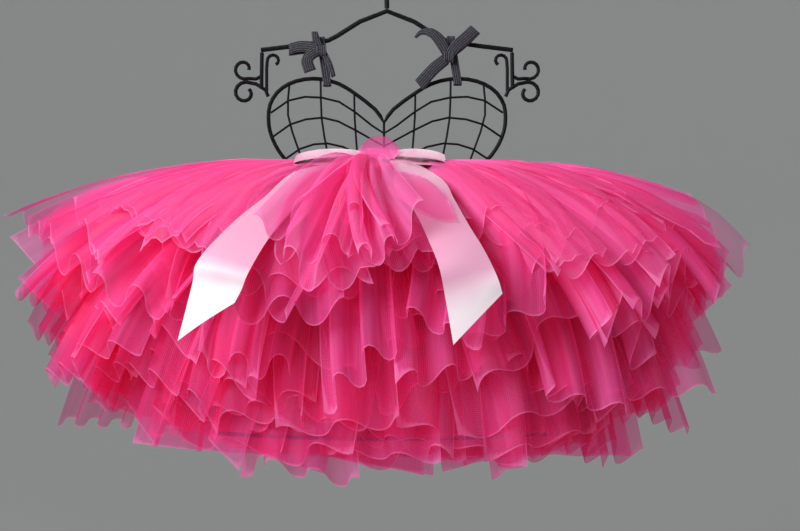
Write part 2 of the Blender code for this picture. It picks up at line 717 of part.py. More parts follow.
hook()
shoulder_bar()
shoulder_scroll("shoulder_scroll_left", -1)
shoulder_scroll("shoulder_scroll_right", 1)
bodice()
skirt_frame()
waistband()
for order in range(len(TIERS)):
    tier_wall(order)
tail("bow_tail_left", TAIL_LEFT)
tail("bow_tail_right", TAIL_RIGHT)
satin_loop("bow_loop_left", -1, LEFT_LOOP_REACH)
satin_loop("bow_loop_right", 1, RIGHT_LOOP_REACH)
bow_knot()
upper_tulle_loop()
falling_tulle_loop()
strap("strap_left", Vector((-66, 0, -106.8)), Vector((-60, 0, -147)))
strap("strap_right", Vector((64, 0, -106)), Vector((70.4, 0, -146)))
tie("strap_tie_left", Vector((-65.3, -7.3, -116.6)), LEFT_TIES)
tie("strap_tie_right", Vector((61.3, -7.3, -122.6)), RIGHT_TIES)
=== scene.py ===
"""The looks of the tulle tutu on its wire hanger: sheer strips, satin bow, striped ties, iron.

Sizes are millimetres in the tables and MM turns them into metres. The CAD solids give where
everything hangs; the tulle strips follow the same tiers as the solids do.
"""

import json
import math
import random
from collections import namedtuple

import bpy
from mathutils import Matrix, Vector
from mathutils.kdtree import KDTree


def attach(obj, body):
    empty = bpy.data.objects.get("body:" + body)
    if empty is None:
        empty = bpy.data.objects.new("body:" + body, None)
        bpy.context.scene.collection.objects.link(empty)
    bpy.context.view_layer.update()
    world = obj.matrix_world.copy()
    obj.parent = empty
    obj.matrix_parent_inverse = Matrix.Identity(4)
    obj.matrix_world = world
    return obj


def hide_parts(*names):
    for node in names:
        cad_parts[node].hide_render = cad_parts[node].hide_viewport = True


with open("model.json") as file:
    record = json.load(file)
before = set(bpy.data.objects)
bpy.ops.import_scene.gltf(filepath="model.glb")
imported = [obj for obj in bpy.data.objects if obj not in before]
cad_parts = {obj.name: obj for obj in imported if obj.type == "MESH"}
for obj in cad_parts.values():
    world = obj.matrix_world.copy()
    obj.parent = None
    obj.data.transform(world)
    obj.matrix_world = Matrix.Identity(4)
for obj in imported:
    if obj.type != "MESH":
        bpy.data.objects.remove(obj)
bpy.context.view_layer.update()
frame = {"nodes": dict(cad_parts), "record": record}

MM = 0.001
scene = bpy.context.scene

# ---- the tutu's driving sizes
Step = namedtuple("Step", "start length")
WAIST_Z = -229.0
CLOTH = 1.2  # wall of a tier's solid
GATHER = 0.6  # depth of the gathers on the waistband
RIBBON = 1.0  # wall of a ribbon's solid
BAND_HEIGHT = 24.0
BAND_SIDE = 105.0
BAND_FRONT = 20.0
BAND_BACK = 8.0

Tier = namedtuple("Tier", "front_reach front_drop left_reach right_reach side_drop")
TIERS = [
    Tier(216, 109, 368, 346, 66),
    Tier(206, 149, 344, 338, 134),
    Tier(191, 187, 320, 317, 188),
    Tier(171, 225, 284, 290, 234),
    Tier(146, 266, 246, 252, 266),
    Tier(112, 302, 206, 208, 290),
]
BACK_DROP = 300.0
BAND_GAP = 1.0  # between the waistband and the innermost tier
TIER_STEP = 3.0
WAIST_STEP = 3.4
BACK_STEP = 3.6
BACK_INNER = 12.0  # the innermost tier's back, from the wire form
BACK_ANGLE = 22.0  # degrees past the side over which a tier reaches its flat back
# Where a tier's curve is pulled to between its waist and its hem, as shares of the way.
Pull = namedtuple("Pull", "run fall")
SIDE_PULL = Pull(0.55, 0.12)
FRONT_PULL = Pull(0.74, 0.2)
BACK_PULL = Pull(0.5, 0.5)
BACK_EASE = 4.0  # how soon past the side the back takes its own shape

# The tulle strips, cut from a roll 15 cm wide and knotted on the waistband by their middles.
STRIP_WIDTH = 150.0
STRIP_ROWS = 15
STRIP_COLUMNS = 30
FRONT_STRIPS = 21  # a tier, on the front half and sides
BACK_STRIPS = 8  # a tier, pressed flat behind
FRONT_TURN = math.radians(97)
KNOT_SHARE = 0.09  # how much of its width a strip keeps open at its knot
SHEET_COVER = 0.30  # how much of the light one flat layer of the net stops
WALL_Y = 33.0  # the wall that the back of the tutu hangs against

# The satin bow and the tulle loops over it.
SATIN_WIDTH = 46.0
CLEAR_OF_HEM = 10.0  # how far a tail stands off the ragged hem it falls over
RUFFLE = 10.4  # how far the outer tier's ruffles lift a ribbon at its hem
RUFFLE_POWER = 1.4
RIBBON_GAP = 0.6  # between a ribbon and the highest ruffles
NEAR_HEM = Step(0.8, 0.2)
LAST_DIRECTION = 0.99  # past this share of the tier a ribbon keeps the tier's direction
HANG = 300.0  # length of tail that one share past the hem stands for
KNOT = Vector((-9, -48, -218.8))
KNOT_LENGTH = 20.0
Station = namedtuple("Station", "left_turn left_share right_turn right_share")
TAIL_LEFT = [
    Station(-12.5, 0.02, -9, 0.09), Station(-20, 0.08, -12, 0.24), Station(-25, 0.30, -14, 0.47),
    Station(-22.5, 0.58, -15.5, 0.70), Station(-24, 0.78, -16.8, 0.87),
    Station(-25.5, 0.99, -18, 1.02), Station(-26.3, 1.07, -19, 1.07),
    Station(-28.5, 1.23, -20, 1.11),
]
TAIL_RIGHT = [
    Station(1.5, 0.09, 1.6, 0.02), Station(2.5, 0.26, 11, 0.12), Station(2, 0.51, 13.5, 0.40),
    Station(5, 0.68, 13, 0.59), Station(6.5, 0.86, 13.5, 0.78), Station(7.5, 1.0, 14.5, 0.92),
    Station(8.4, 1.09, 15.7, 1.03), Station(9.5, 1.22, 16.5, 1.08),
]
Turn = namedtuple("Turn", "along up half")
SATIN_LOOP = [
    Turn(0, -1.6, 6), Turn(14, -2.4, 13), Turn(32, -2.6, 20), Turn(50, -3.4, 20),
    Turn(63, -4.6, 19), Turn(68, -2.8, 18), Turn(62, 0.2, 19), Turn(46, 3.0, 20),
    Turn(28, 3.9, 20), Turn(12, 3.2, 13), Turn(0, 1.6, 6),
]
LOOP_FRONT = [Turn(0, -3.0, 14), Turn(8, -3.6, 18.5), Turn(14, -3.0, 19), Turn(19, -1.5, 18)]
LOOP_BACK = [turn._replace(up=-turn.up) for turn in reversed(LOOP_FRONT)]
TULLE_LOOP = [*LOOP_FRONT, Turn(21.8, 0.0, 15.5), *LOOP_BACK]
Fall = namedtuple("Fall", "share up half")
TULLE_FALL = [
    Fall(0.13, 2.0, 9), Fall(0.3, 2.0, 16), Fall(0.46, 3.0, 20), Fall(0.58, 5.0, 21),
    Fall(0.63, 10.0, 20), Fall(0.6, 17.0, 20), Fall(0.47, 21.0, 20), Fall(0.3, 17.0, 15),
    Fall(0.16, 8.0, 9), Fall(0.12, 4.0, 8),
]
FALL_TURN = -4.5

# Narrow ribbons that tie the form to its shoulder bar.
STRAP_WIDTH = 8.0
STRAP_DEPTH = 3.4
ROUND_BAR = [(-1.0, 0.0), (-0.8, 3.2), (0.0, 4.8), (0.8, 3.2), (1.0, 0.0)]
Tie = namedtuple("Tie", "x y z half_x half_z")
LEFT_TIES = {
    "loop": [
        Tie(-66, -8.8, -117, 0, 4), Tie(-74, -10, -114, 0, 5.5), Tie(-86, -10, -113, 0, 5.5),
        Tie(-95, -9.6, -115, 0, 5.5), Tie(-97.4, -7.9, -116, 0, 5.5), Tie(-95, -6.2, -116, 0, 5.5),
        Tie(-84, -6, -114.5, 0, 5.5), Tie(-74, -6, -115, 0, 5), Tie(-66, -6.2, -117, 0, 4),
    ],
    "upper": [Tie(-66, -8.2, -116, 4, 0), Tie(-70, -9.4, -107, 4, 0), Tie(-72, -9, -98, 3, 0)],
    "lower": [
        Tie(-67, -8.4, -117, 0, 5), Tie(-75, -11.4, -121, -3, 5), Tie(-79, -12.4, -128, -6, 1),
        Tie(-76, -11.4, -138, -5.8, -2),
    ],
    "thin": [Tie(-64, -7, -117, 3, 1), Tie(-57, -9, -130, 2.4, 1), Tie(-53, -8, -143, 2, 1)],
}
RIGHT_TIES = {
    "loop": [
        Tie(61, -8.8, -122, 3, -3), Tie(70, -10, -112, 4.5, -4), Tie(79, -11, -104, 4.5, -4),
        Tie(86, -10, -97.5, 4.5, -4), Tie(88, -8.6, -96, 4.5, -4), Tie(85, -7.2, -99, 4.5, -4),
        Tie(78, -6.4, -106, 4.5, -4), Tie(70, -6, -113, 4.5, -4), Tie(61, -6.2, -122, 3, -3),
    ],
    "upper": [
        Tie(60, -8, -121, 4, 2), Tie(54, -10, -109, 5, 3), Tie(45, -11, -100, 2.5, 4),
        Tie(35, -10.4, -98.5, 0, 3), Tie(28, -9.4, -104, -1, 1),
    ],
    "lower": [Tie(59, -8.4, -125, -3, 5), Tie(46, -11.4, -136, -3, 5.6),
              Tie(32, -12.4, -152, -4, 5.2)],
}

dice = random.Random(7)
jitter = dice.uniform


def blend(start, end, share):
    return start + (end - start) * share


def ease(share):
    share = min(max(share, 0.0), 1.0)
    return share * share * (3 - 2 * share)


def passed(step, value):
    """How much of a smooth step from 0 to 1 lies behind a value."""
    return ease((value - step.start) / step.length)


def tree_of(places):
    tree = KDTree(len(places))
    for number, place in enumerate(places):
        tree.insert(place, number)
    tree.balance()
    return tree


def tier_at(level):
    """The tier table read between its rows: 0 is the outermost tier and 5 the innermost."""
    lower = min(max(int(math.floor(level)), 0), len(TIERS) - 2)
    share = level - lower
    return Tier(*(blend(a, b, share) for a, b in zip(TIERS[lower], TIERS[lower + 1])))


def past_side(turn):
    return max(0.0, (abs(turn) - math.pi / 2) / (math.pi / 2))


def waist_ring(out, turn):
    """A point of the waist's flat-sided oval, out from the waistband: its X and its Y."""
    radius = (BAND_FRONT + BAND_BACK) / 2 + out
    straight = BAND_SIDE - (BAND_FRONT + BAND_BACK) / 2
    corner = math.pi / 2 * radius
    behind = abs(turn) > math.pi / 2
    along = (math.pi - abs(turn) if behind else abs(turn)) / (math.pi / 2) * (straight + corner)
    bend = max(0.0, along - straight) / radius
    x = min(along, straight) + radius * math.sin(bend)
    y = radius * math.cos(bend) * (1 if behind else -1)
    return math.copysign(x, turn), y + (BAND_BACK - BAND_FRONT) / 2


def waist_point(level, turn):
    out = CLOTH + GATHER + BAND_GAP + TIER_STEP * (len(TIERS) - 1 - level)
    return Vector((*waist_ring(out, turn), WAIST_Z - WAIST_STEP * level))


def hem_point(level, turn):
    """Where a strip ends: an ellipse round the front and a flat fan across the back."""
    tier = tier_at(level)
    side_reach = tier.right_reach if turn > 0 else tier.left_reach
    if abs(turn) <= math.pi / 2:
        share = math.cos(turn)
        drop = blend(tier.side_drop, tier.front_drop, share)
        across = side_reach * math.sin(turn)
        return Vector((across, -tier.front_reach * share, WAIST_Z - drop))
    share = past_side(turn)
    out = side_reach - abs(waist_point(level, math.pi / 2).x)
    fan = math.atan2(out, tier.side_drop) * (1 - share)
    length = blend(math.hypot(out, tier.side_drop), BACK_DROP, share)
    start = waist_point(level, turn)
    layer = BACK_INNER + BACK_STEP * (len(TIERS) - 1 - level)
    away = layer * ease((abs(turn) - math.pi / 2) / math.radians(BACK_ANGLE))
    across = start.x + math.copysign(length * math.sin(fan), turn)
    return Vector((across, away, WAIST_Z - length * math.cos(fan)))


def tier_point(level, turn, share):
    """A point of a smooth tier, share of the way from the waist to the hem."""
    start, end = waist_point(level, turn), hem_point(level, turn)
    front = max(0.0, math.cos(turn))
    behind = ease(past_side(turn) * BACK_EASE)
    run, fall = (
        blend(blend(side, fore, front), back, behind)
        for side, fore, back in zip(SIDE_PULL, FRONT_PULL, BACK_PULL)
    )
    middle = Vector((blend(start.x, end.x, run), blend(start.y, end.y, run),
                     blend(start.z, end.z, fall)))
    if behind:
        middle.y = blend(middle.y, end.y, behind)
    return (1 - share) ** 2 * start + 2 * share * (1 - share) * middle + share**2 * end


def wrapped(turn):
    return (turn + math.pi) % (2 * math.pi) - math.pi


def strip_frame(level, turn, share):
    """A place on a tier and three unit directions there: down the strip, across it, outward."""
    step = 0.01
    back, on = max(share - step, 0.0), share + step
    place = tier_point(level, turn, share)
    down = (tier_point(level, turn, on) - tier_point(level, turn, back)).normalized()
    along = tier_point(level, wrapped(turn + step), share)
    along -= tier_point(level, wrapped(turn - step), share)
    across = (along - down * along.dot(down)).normalized()
    return place, down, across, down.cross(across)


def smooth(points, spans):
    """Points of a Catmull-Rom curve through the given ones, with spans pieces between two."""
    ends = [2 * points[0] - points[1], *points, 2 * points[-1] - points[-2]]
    found = []
    for before, start, end, after in zip(ends, ends[1:], ends[2:], ends[3:]):
        slope = end - before
        bend = 2 * before - 5 * start + 4 * end - after
        twist = 3 * start - before - 3 * end + after
        for step in range(spans):
            t = step / spans
            found.append(0.5 * (2 * start + slope * t + bend * t**2 + twist * t**3))
    return [*found, points[-1].copy()]


def drape(turn, share, lift=0.0):
    """A point on the outer tier where a ribbon rests clear of the ruffles, or hangs past it."""
    on_tier = min(share, 1.0)
    ruffle = blend(GATHER, RUFFLE, on_tier**RUFFLE_POWER)
    out = strip_frame(0, turn, min(on_tier, LAST_DIRECTION))[3]
    clear = lift + (CLOTH + RIBBON) / 2 + RIBBON_GAP + ruffle
    resting = tier_point(0, turn, on_tier) + clear * out
    resting.y -= CLEAR_OF_HEM * passed(NEAR_HEM, share)
    return resting - Vector((0, 0, max(0.0, share - 1) * HANG))


# ---- meshes
Cell = namedtuple("Cell", "point across along cover")  # cloth millimetres, and light stopped


def cloth_cells(rows, cover=SHEET_COVER):
    """Cells for rows of points, their cloth places measured over the surface itself."""
    cells = []
    middle = len(rows[0]) // 2
    along = 0.0
    for number, row in enumerate(rows):
        if number:
            along += (row[middle] - rows[number - 1][middle]).length
        across = 0.0
        line = []
        for place, point in enumerate(row):
            if place:
                across += (point - row[place - 1]).length
            line.append(Cell(point, across, along, cover))
        cells.append(line)
    return cells


def add_object(name, data):
    made = bpy.data.objects.new(name, data)
    scene.collection.objects.link(made)
    return made


def cloth_mesh(name, sheets):
    """One mesh made of several sheets, with cloth UVs in metres and its cover and edge kept."""
    verts, faces, places, covers, edges = [], [], [], [], []
    for cells in sheets:
        first = len(verts)
        columns = len(cells[0])
        length = cells[-1][0].along
        for row in cells:
            for cell in row:
                verts.append(cell.point * MM)
                places.append((cell.across * MM, cell.along * MM))
                covers.append(cell.cover)
                edges.append(min(cell.across, row[-1].across - cell.across, length - cell.along))
        for r in range(len(cells) - 1):
            for c in range(columns - 1):
                at = first + r * columns + c
                faces.append((at, at + columns, at + columns + 1, at + 1))
    mesh = bpy.data.meshes.new(name)
    mesh.from_pydata(verts, [], faces)
    layer = mesh.uv_layers.new(name="cloth")
    for loop in mesh.loops:
        layer.data[loop.index].uv = places[loop.vertex_index]
    for label, values in (("cover", covers), ("edge", edges)):
        mesh.attributes.new(label, "FLOAT", "POINT").data.foreach_set("value", values)
    mesh.shade_smooth()
    return mesh


def mean_widths(sheets):
    """The mean width of each sheet, for pieces whose cut shape tapers."""
    return [sum(row[-1].across for row in cells) / len(cells) for cells in sheets]


def sheet_piece(name, sheets, finish, replaces, widths=None, wall=0.0):
    """A soft piece made of cloth sheets, where many strips lie side by side."""
    piece = add_object(name, cloth_mesh(name, sheets))
    piece.data.materials.append(finish)
    if wall:
        thick = piece.modifiers.new("wall", "SOLIDIFY")
        thick.thickness = wall * MM
        thick.offset = 0.0
    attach(piece, "root")
    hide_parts(*replaces)
    widths = widths or [max(row[-1].across for row in cells) for cells in sheets]


# ---- materials
def new_material(name):
    made = bpy.data.materials.new(name)
    made.use_nodes = True
    tree = made.node_tree
    return made, tree, tree.nodes["Principled BSDF"]


def feed(tree, made, inputs):
    """Sets a node's inputs, by name, to values or to the sockets that feed them."""
    for key, value in inputs.items():
        if isinstance(value, bpy.types.NodeSocket):
            tree.links.new(value, made.inputs[key])
        else:
            made.inputs[key].default_value = value


def node(tree, kind, inputs=None, **settings):
    made = tree.nodes.new(kind)
    for key, value in settings.items():
        setattr(made, key, value)
    feed(tree, made, inputs or {})
    return made


def math_node(tree, operation, *values, clamp=False):
    inputs = dict(enumerate(values))
    return node(tree, "ShaderNodeMath", inputs, operation=operation, use_clamp=clamp).outputs[0]


def ranged(tree, value, source, target):
    """Carries a value from one range over to another."""
    inputs = {
        "Value": value,
        "From Min": source[0], "From Max": source[1],
        "To Min": target[0], "To Max": target[1],
    }
    return node(tree, "ShaderNodeMapRange", inputs).outputs["Result"]


def ramp(tree, value, *stops):
    """A colour ramp of (place, colour) stops."""
    made = node(tree, "ShaderNodeValToRGB", {"Fac": value})
    elements = made.color_ramp.elements
    while len(elements) < len(stops):
        elements.new(0.5)
    for element, (place, colour) in zip(elements, stops):
        element.position = place
        element.color = (*colour, 1)
    return made.outputs["Color"]


def cloth_place(tree):
    return node(tree, "ShaderNodeUVMap", uv_map="cloth").outputs["UV"]


def cloth_ways(tree):
    """How far across and how far along the cloth a place is, in metres."""
    split = node(tree, "ShaderNodeSeparateXYZ", {"Vector": cloth_place(tree)})
    return split.outputs["X"], split.outputs["Y"]


def cloth_noise(tree, across, along):
    """Noise over the cloth's own surface, with that many spots a metre across and along."""
    inputs = {"Vector": cloth_place(tree), "Scale": (across, along, 1.0)}
    scaled = node(tree, "ShaderNodeMapping", inputs)
    inputs = {"Vector": scaled.outputs["Vector"], "Scale": 1.0, "Detail": 1.0}
    return node(tree, "ShaderNodeTexNoise", inputs, noise_dimensions="2D").outputs["Fac"]


def wave(tree, value, pitch):
    return math_node(tree, "SINE", math_node(tree, "MULTIPLY", value, 2 * math.pi / pitch))


def attribute(tree, name):
    return node(tree, "ShaderNodeAttribute", attribute_name=name).outputs["Fac"]


def raise_grain(tree, shader, height, strength, distance):
    inputs = {"Strength": strength, "Distance": distance, "Height": height}
    bump = node(tree, "ShaderNodeBump", inputs)
    feed(tree, shader, {"Normal": bump.outputs["Normal"]})


NOISE = (0.3, 0.7)  # between these lie most of a noise's values
NET_PITCH = 0.0038  # metres from hole to hole along the net's slant
NET_LINE = 0.17  # how much more the net's threads stop than its mean
NET_STREAKS = (110.0, 6.0)
NET_EDGE = (0.4, 1.9)  # millimetres over which a cut edge fades
EDGE_COVER = 0.18
# painted sheen: how much paler the net is painted along its cut edges
EDGE_SHEEN_PALE = 0.42
# covers over which a fold's painted sheen rises from a flat layer's paleness to its fullest
FOLD_SHEEN_COVERS = (0.35, 0.9)
FOLD_SHEEN_PALE = 0.3  # painted sheen: how much paler the net is painted where it is folded thickest
NET_PINK = (0.985, 0.145, 0.53)
# the ramp's paler end, where the painted sheen and the paler streaks lead
NET_PALE = (1.0, 0.46, 0.78)
TRANSLUCENT = 0.45


def tulle_material(name, lit_sheen, hole_tint):
    """Fine net: mostly see-through, and painted paler where it is gathered, creased or cut, a
    painted sheen.

    lit_sheen is how much paler one flat layer is painted, a painted sheen, and hole_tint colours
    the light that passes its holes.
    """
    made, tree, shader = new_material(name)
    across, along = cloth_ways(tree)
    streaks = cloth_noise(tree, *NET_STREAKS)
    slants = [math_node(tree, way, across, along) for way in ("ADD", "SUBTRACT")]
    net = math_node(tree, "MULTIPLY", *(wave(tree, slant, NET_PITCH) for slant in slants))
    net = math_node(tree, "MULTIPLY", net, NET_LINE)
    uneven = math_node(tree, "ADD", ranged(tree, streaks, NOISE, (0.9, 1.1)), net)
    edge = ranged(tree, attribute(tree, "edge"), NET_EDGE, (1.0, 0.0))
    folded = attribute(tree, "cover")
    cover = math_node(tree, "MULTIPLY", folded, uneven)
    edge_cover = math_node(tree, "MULTIPLY", edge, EDGE_COVER)
    cover = math_node(tree, "ADD", cover, edge_cover, clamp=True)

    # Painted sheen: paler where the cover is higher, in folds and gathers, and along cut edges;
    # the streaks vary the tone at random.
    pale = ranged(tree, folded, FOLD_SHEEN_COVERS, (lit_sheen, lit_sheen + FOLD_SHEEN_PALE))
    pale = math_node(tree, "ADD", pale, math_node(tree, "MULTIPLY", edge, EDGE_SHEEN_PALE))
    pale = math_node(tree, "ADD", pale, ranged(tree, streaks, NOISE, (-0.1, 0.14)), clamp=True)
    tint = ramp(tree, pale, (0.0, NET_PINK), (1.0, NET_PALE))
    feed(tree, shader, {"Base Color": tint, "Roughness": 0.6, "Specular IOR Level": 0.0})
    through = node(tree, "ShaderNodeBsdfTranslucent", {"Color": tint})
    thread = node(tree, "ShaderNodeMixShader",
                  {0: TRANSLUCENT, 1: shader.outputs["BSDF"], 2: through.outputs["BSDF"]})
    hole = node(tree, "ShaderNodeBsdfTransparent", {"Color": hole_tint})
    sheer = node(tree, "ShaderNodeMixShader",
                 {0: cover, 1: hole.outputs["BSDF"], 2: thread.outputs["Shader"]})
    feed(tree, tree.nodes["Material Output"], {"Surface": sheer.outputs["Shader"]})
    return made


SATIN_HIGHLIGHT_SPAN = (0.15, 0.26)  # painted light: metres along a ribbon over which it is painted from pink to a nearly white painted highlight
# painted light: pink near the knot for the shade and the tulle's pink light there, paling to a
# nearly white painted highlight at the hanging ends
SATIN_SHADE_TO_HIGHLIGHT = [
    (0.0, (0.55, 0.22, 0.34)), (0.72, (0.57, 0.28, 0.40)), (0.95, (0.67, 0.58, 0.62)),
]


def satin_material():
    """Smooth pale pink satin: fine lengthwise weave, a soft gloss, and painted light: pinker near
    the knot, with a painted highlight towards the far end.
    """
    made, tree, shader = new_material("satin")
    weave = cloth_noise(tree, 2400.0, 260.0)
    cloud = cloth_noise(tree, 30.0, 18.0)
    _, along = cloth_ways(tree)
    # Painted highlight: paler the further along the ribbon, with cloudy tone at random.
    highlight_and_cloud = math_node(tree, "ADD", ranged(tree, along, SATIN_HIGHLIGHT_SPAN, (0.0, 1.0)),
                      ranged(tree, cloud, NOISE, (-0.04, 0.05)), clamp=True)
    feed(tree, shader, {
        "Base Color": ramp(tree, highlight_and_cloud, *SATIN_SHADE_TO_HIGHLIGHT),
        "Roughness": ranged(tree, weave, NOISE, (0.38, 0.5)),
        "Specular IOR Level": 0.3,
        "Sheen Weight": 0.1,
        "Sheen Tint": (1.0, 0.85, 0.92, 1),
    })
    raise_grain(tree, shader, weave, strength=0.15, distance=0.0002)
    return made


STRIPE_PITCH = 0.0022
RIB_PITCH = 0.0011
STRIPE_SIDES = (0.4, 0.95)
GREY = (0.010, 0.010, 0.013)
PALE_GREY = (0.092, 0.093, 0.112)


def grosgrain_material():
    """Ribbed grey ribbon with fine pale stripes along it."""
    made, tree, shader = new_material("striped_grosgrain")
    across, along = cloth_ways(tree)
    stripe = wave(tree, across, STRIPE_PITCH)
    rib = wave(tree, along, RIB_PITCH)
    blot = cloth_noise(tree, 500.0, 500.0)
    shade = math_node(tree, "ADD", ranged(tree, stripe, STRIPE_SIDES, (0.0, 0.8)),
                      ranged(tree, blot, NOISE, (-0.08, 0.16)), clamp=True)
    feed(tree, shader, {
        "Base Color": ramp(tree, shade, (0.0, GREY), (1.0, PALE_GREY)),
        "Roughness": 0.62,
        "Specular IOR Level": 0.15,
        "Sheen Weight": 0.03,
    })
    raise_grain(tree, shader, rib, strength=0.5, distance=0.0003)
    return made


ELASTIC_COLOURS = [(0.3, (0.62, 0.03, 0.19)), (0.7, (0.85, 0.10, 0.34))]


def elastic_material():
    """Knitted pink elastic; its raised ribs are in its mesh."""
    made, tree, shader = new_material("knitted_elastic")
    knit = cloth_noise(tree, 900.0, 500.0)
    feed(tree, shader, {
        "Base Color": ramp(tree, knit, *ELASTIC_COLOURS),
        "Roughness": ranged(tree, knit, NOISE, (0.6, 0.85)),
        "Sheen Weight": 0.4,
    })
    raise_grain(tree, shader, knit, strength=0.6, distance=0.0004)
    return made


IRON_COLOURS = [(0.35, (0.002, 0.002, 0.003)), (0.75, (0.011, 0.010, 0.012))]


def iron_material():
    """Black lacquered wire, a little uneven and worn to grey in places."""
    made, tree, shader = new_material("blacked_iron")
    place = node(tree, "ShaderNodeTexCoord").outputs["Object"]
    inputs = {"Vector": place, "Scale": 420.0, "Detail": 3.0}
    grain = node(tree, "ShaderNodeTexNoise", inputs).outputs["Fac"]
    feed(tree, shader, {
        "Base Color": ramp(tree, grain, *IRON_COLOURS),
        "Roughness": ranged(tree, grain, NOISE, (0.4, 0.68)),
        "Specular IOR Level": 0.08,
    })
    raise_grain(tree, shader, grain, strength=0.3, distance=0.0004)
    return made


# Lit and shaded copies of one net: the inner tiers' copy is painted deeper and redder, its holes
# redder too, as painted shade and the red glow deep in the layers; the outer copy is painted
# paler, a painted sheen for the lit outer layer.
TULLE = tulle_material("tulle_net", lit_sheen=0.03, hole_tint=(1.0, 0.50, 0.67, 1))
OUTER_TULLE = tulle_material("tulle_net_outer", lit_sheen=0.22, hole_tint=(1.0, 0.66, 0.82, 1))
SATIN = satin_material()
GROSGRAIN = grosgrain_material()
ELASTIC = elastic_material()
IRON = iron_material()


# ---- sheets through given points
def across_sheet(columns):
    """Places across a sheet, from -1 at one edge to 1 at the other."""
    return [2 * column / columns - 1 for column in range(columns + 1)]


def lofted(columns, spans):
    """Cells of a sheet whose columns each run smoothly through a few given points."""
    lines = [smooth(points, spans) for points in columns]
    return cloth_cells([list(row) for row in zip(*lines)])


# ---- the satin bow
TAIL_COLUMNS = 14
TAIL_CROWN = 1.4  # how much a tail bulges between its edges
LOOP_GAP = 1.3  # from the knot's end to the middle of a satin loop's start
LOOP_DROP = 5.0  # how far below the knot's middle a satin loop starts
LOOP_BEHIND = 6.0
LOOP_WIDER_BEHIND = 0.3  # share of its half width that a loop reaches further back
LOOP_SLANT = 0.28  # how much a satin loop drops towards its front edge
LOOP_CROWN = 0.8
KNOT_SINK = Vector((0, 0, 3.4))  # how far the cloth knot hangs below the middle of its solid
PINCH = 0.14  # how much a knot narrows to its middle
CREASE = 0.05  # how deep its pleats are, as a share of its radius
CREASE_PHASE = 0.6


def satin_tail(side, stations):
    columns = []
    for column in range(TAIL_COLUMNS + 1):
        across = column / TAIL_COLUMNS
        crown = TAIL_CROWN * math.sin(math.pi * across)
        columns.append([
            drape(math.radians(blend(s.left_turn, s.right_turn, across)),
                  blend(s.left_share, s.right_share, across), crown)
            for s in stations
        ])
    cells = lofted(columns, spans=7)
    sheet_piece(f"satin_tail_{side}", [cells], SATIN, [f"bow_tail_{side}"],
                widths=[SATIN_WIDTH])
    return cells


def satin_loop(side, way, reach):
    """A flat loop that leaves the knot on one side, slanting down towards its front edge."""
    root = KNOT + Vector((way * (KNOT_LENGTH / 2 + LOOP_GAP), 0, -LOOP_DROP))
    columns = []
    for across in across_sheet(columns=12):
        points = []
        for turn in SATIN_LOOP:
            forward = turn.half * (1 - across) - LOOP_BEHIND - LOOP_WIDER_BEHIND * turn.half
            up = turn.up - LOOP_SLANT * forward + LOOP_CROWN * (1 - across * across)
            points.append(root + Vector((way * turn.along * reach, -forward, up)))
        columns.append(points)
    sheet_piece(f"satin_loop_{side}", [lofted(columns, spans=4)], SATIN,
                [f"bow_loop_{side}"], wall=0.3)


def band_round(centre, length, radii, pleats, columns=14, around=40):
    """A short ribbon wrapped round: rows of points along its width, creased lengthwise."""
    rows = []
    for step in range(around + 1):
        turn = 2 * math.pi * step / around
        row = []
        for u in across_sheet(columns):
            crease = CREASE * math.sin(pleats * math.pi * u + CREASE_PHASE)
            pinch = 1 - PINCH + PINCH * u * u + crease
            row.append(centre + Vector((u * length / 2, radii[0] * pinch * math.cos(turn),
                                        radii[1] * pinch * math.sin(turn))))
        rows.append(row)
    return cloth_cells(rows)


tails = [satin_tail("left", TAIL_LEFT), satin_tail("right", TAIL_RIGHT)]
satin_loop("left", -1, reach=1.0)
satin_loop("right", 1, reach=0.8)
knot_cells = band_round(KNOT - KNOT_SINK, KNOT_LENGTH, radii=(6.0, 5.0), pleats=3.5)
sheet_piece("satin_knot", [knot_cells], SATIN, ["bow_knot"],
            wall=0.5)


# ---- tulle loops over the bow
LOOP_COLUMNS = 16
LOOP_SPANS = 5
STANDING_ROOT = KNOT + Vector((2, -13.5, -9.5))
ROUNDED = 0.4  # how much lower the standing loop is along its edges than in its middle
ROUND_POWER = 3.2
GATHERED_COVER = 0.62  # light stopped where the standing loop is gathered at the knot
OPEN_COVER = 0.19
GATHERED_HEIGHT = 15.0
FALL_ARCH = 0.12  # how much less far the draped loop's edges fall than its middle
FALL_ROUND = 0.3  # how much closer its edges lie
FALL_TAPER = 0.3  # how much narrower it is round its fold
TAPER = Step(0.4, 0.2)
FALL_WAVE = 1.5  # how far it waves back and forth across its width
FALL_WAVES = 3.5


def standing_loop():
    """A sheer round-topped loop, gathered where it leaves the knot."""
    columns = []
    for across in across_sheet(LOOP_COLUMNS):
        tall = 1 - ROUNDED * abs(across) ** ROUND_POWER
        columns.append([
            STANDING_ROOT + Vector((across * turn.half, turn.up, turn.along * tall))
            for turn in TULLE_LOOP
        ])

    def opened(cell):
        up = ease((cell.point.z - STANDING_ROOT.z) / GATHERED_HEIGHT)
        return cell._replace(cover=blend(GATHERED_COVER, OPEN_COVER, up))

    return [[opened(cell) for cell in row] for row in lofted(columns, LOOP_SPANS)]


def draped_loop():
    """A loop that falls from the knot and turns back up, narrower round its fold."""
    turn = math.radians(FALL_TURN)
    columns = []
    for across in across_sheet(LOOP_COLUMNS):
        forth = FALL_WAVE * math.sin(FALL_WAVES * across)
        points = []
        for fall in TULLE_FALL:
            out = strip_frame(0, turn, fall.share)[3]
            place = drape(turn, fall.share * (1 - FALL_ARCH * across * across))
            tapered = 1 - FALL_TAPER * passed(TAPER, fall.share)
            up = fall.up * (1 - FALL_ROUND * across**4)
            points.append(place + up * out + Vector((across * fall.half * tapered, forth, 0)))
        columns.append(points)
    return lofted(columns, LOOP_SPANS)


